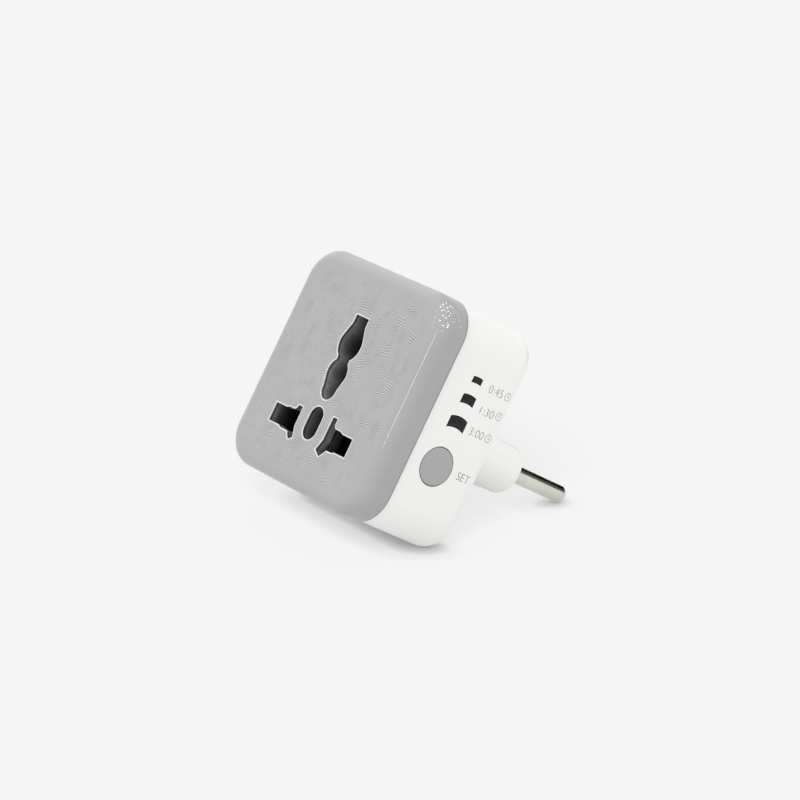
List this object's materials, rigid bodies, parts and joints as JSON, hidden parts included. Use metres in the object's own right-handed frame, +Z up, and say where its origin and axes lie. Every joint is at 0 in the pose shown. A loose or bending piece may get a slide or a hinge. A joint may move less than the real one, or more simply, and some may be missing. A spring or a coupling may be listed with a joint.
{
  "type": "plug-in timer switch",
  "caption": "Square plug-in countdown timer with a universal socket on its face, a set button and three lit windows on its side, and a round-pin plug behind.",
  "frame": {"origin": "middle of the plug's end face, midway between the two pins, where the part seats against a wall socket", "axes": "+Y out of the plug's end face towards the wall, along the pins; +Z up the face, from the live and neutral row to the earth slot; +X to the right as seen from the socket face"},
  "size_m": [0.0516, 0.0653, 0.0516],
  "materials": {
    "grey_cover": "gloss",
    "white_housing": "satin",
    "screw_steel": "satin",
    "plated_pin": "nickel plated",
    "brown_lead": "satin",
    "blue_lead": "satin",
    "dark_carrier": "matte",
    "cap_plastic": "matte",
    "contact_brass": "satin",
    "circuit_board": "satin",
    "button_grey": "satin",
    "black_plastic": "matte",
    "spring_steel": "bright",
    "smoked_lens": "gloss",
    "shield_white": "matte",
    "lamp_resin": "gloss",
    "relay_blue": "matte",
    "copper_wire": "enamelled copper",
    "soft_iron": "satin",
    "copper_leaf": "satin",
    "film_yellow": "gloss",
    "can_sleeve": "sleeved",
    "resistor_green": "lacquered",
    "varistor_blue": "lacquered"
  },
  "bodies": {
    "case": {"front_cover": "grey_cover", "rear_housing": "white_housing", "case_screws": "screw_steel", "live_pin": "plated_pin", "neutral_pin": "plated_pin", "live_lead": "brown_lead", "neutral_lead": "blue_lead", "socket_carrier": "dark_carrier", "carrier_cap": "cap_plastic", "live_contact": "contact_brass", "neutral_contact": "contact_brass", "main_board": "circuit_board", "side_board": "circuit_board", "switch_body": "black_plastic", "switch_dome": "spring_steel", "window_lens": "smoked_lens", "light_shield": "shield_white", "indicator_lamps": "lamp_resin", "timer_chip": "black_plastic", "chip_resistors": "black_plastic", "relay_base": "black_plastic", "relay_case": "relay_blue", "relay_terminals": "contact_brass", "relay_bobbin": "cap_plastic", "relay_winding": "copper_wire", "relay_core": "soft_iron", "relay_yoke": "soft_iron", "fixed_contact": "copper_leaf", "film_capacitor": "film_yellow", "storage_capacitor": "can_sleeve", "bridge_rectifier": "black_plastic", "fuse_resistor": "resistor_green", "varistor": "varistor_blue"},
    "button": {"set_button": "button_grey"},
    "plunger": {"switch_plunger": "cap_plastic"},
    "armature": {"relay_armature": "soft_iron", "moving_contact": "copper_leaf"}
  },
  "joints": [
    {"name": "button_press", "type": "slide", "parent": "case", "child": "button", "axis": [-1, 0, 0], "range_m": [0, 0.0004], "stiffness_N_per_m": 2500, "springref_m": -0.0002},
    {"name": "plunger_press", "type": "slide", "parent": "case", "child": "plunger", "axis": [-1, 0, 0], "range_m": [0, 0.0004]},
    {"name": "armature_hinge", "type": "hinge", "parent": "case", "child": "armature", "pos_m": [-0.0145, -0.0354, -0.0004], "axis": [-1, 0, 0], "range_deg": [0, 3], "stiffness_Nm_per_rad": 0.02, "springref_deg": -2.86}
  ],
  "couplings": [
    {"joint": "plunger_press", "follows": "button_press", "ratio": 1}
  ]
}
